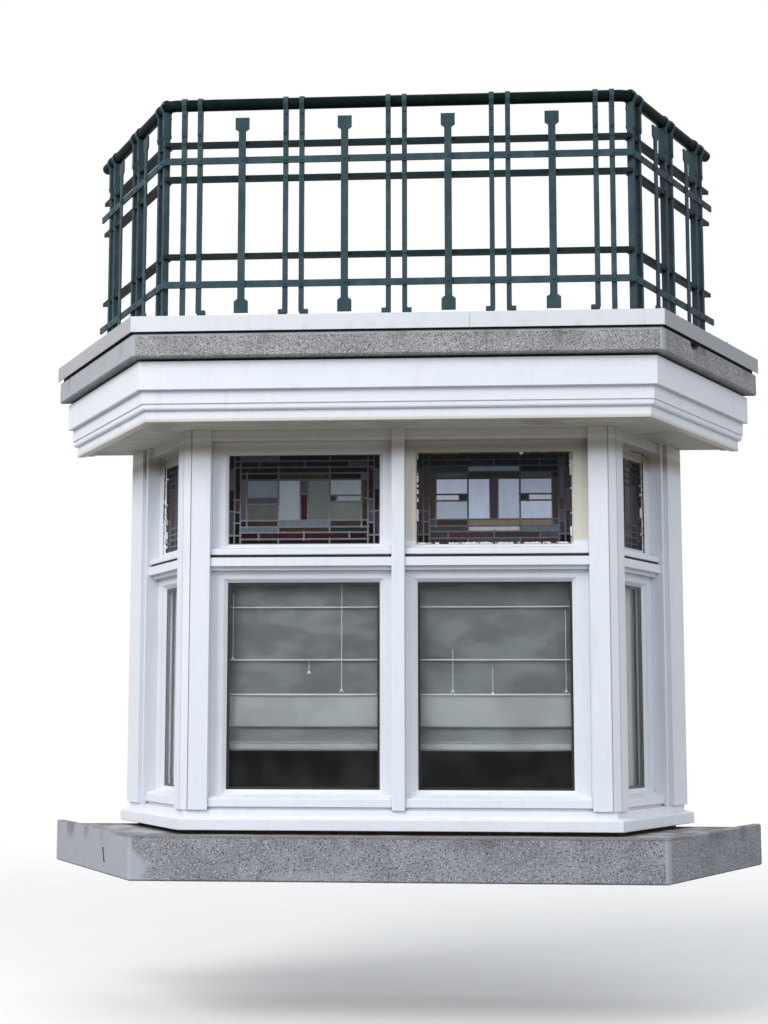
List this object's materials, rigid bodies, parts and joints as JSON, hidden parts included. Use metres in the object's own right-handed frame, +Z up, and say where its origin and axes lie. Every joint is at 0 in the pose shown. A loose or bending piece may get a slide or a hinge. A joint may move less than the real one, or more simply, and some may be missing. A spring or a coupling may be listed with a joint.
{
  "type": "bay window",
  "caption": "Three-sided timber bay window on a concrete sill slab, with a stepped cornice and a small balcony with a riveted metal railing on top.",
  "frame": {"origin": "middle of the back face of the sill slab, on the wall's face", "axes": "X along the wall to the right seen from outside, +Y into the wall, +Z up"},
  "size_m": [3.1628, 0.915, 3.1833],
  "materials": {
    "exposed_concrete": "matte",
    "masonry": "matte",
    "capping_metal": "satin",
    "roof_felt": "matte",
    "rough_timber": "matte",
    "railing_paint": "satin",
    "leaded_glass": "gloss",
    "clear_glass": "gloss",
    "blind_cloth": "matte",
    "curtain_cloth": "matte",
    "soffit_boards": "matte",
    "white_timber": "satin"
  },
  "bodies": {
    "root": {"balcony_slab": "exposed_concrete", "base_sill_front": "white_timber", "base_sill_left": "white_timber", "base_sill_right": "white_timber", "capping_front_left": "capping_metal", "capping_front_right": "capping_metal", "capping_left": "capping_metal", "capping_right": "capping_metal", "centre_mullion": "white_timber", "corner_post_left": "white_timber", "corner_post_right": "white_timber", "cornice_backing": "rough_timber", "cornice_front": "white_timber", "cornice_left": "white_timber", "cornice_right": "white_timber", "deck_covering": "roof_felt", "deck_kerb": "rough_timber", "double_glass": "clear_glass", "handrail": "railing_paint", "head_rail_front_left": "white_timber", "head_rail_front_right": "white_timber", "head_rail_left": "white_timber", "head_rail_right": "white_timber", "leaded_glass": "leaded_glass", "lower_sash_front_left": "white_timber", "lower_sash_front_right": "white_timber", "lower_sash_left": "white_timber", "lower_sash_right": "white_timber", "railing_front": "railing_paint", "railing_left": "railing_paint", "railing_right": "railing_paint", "roman_blind_left": "blind_cloth", "roman_blind_right": "blind_cloth", "side_curtain_left": "curtain_cloth", "side_curtain_right": "curtain_cloth", "sill_slab": "exposed_concrete", "sill_upstand": "masonry", "soffit": "soffit_boards", "transom_front_left": "white_timber", "transom_front_right": "white_timber", "transom_left": "white_timber", "transom_right": "white_timber", "upper_sash_front_left": "white_timber", "upper_sash_front_right": "white_timber", "upper_sash_left": "white_timber", "upper_sash_right": "white_timber", "wall_flashing_left": "roof_felt", "wall_flashing_right": "roof_felt", "wall_post_left": "white_timber", "wall_post_right": "white_timber", "window_board": "white_timber"}
  },
  "joints": []
}
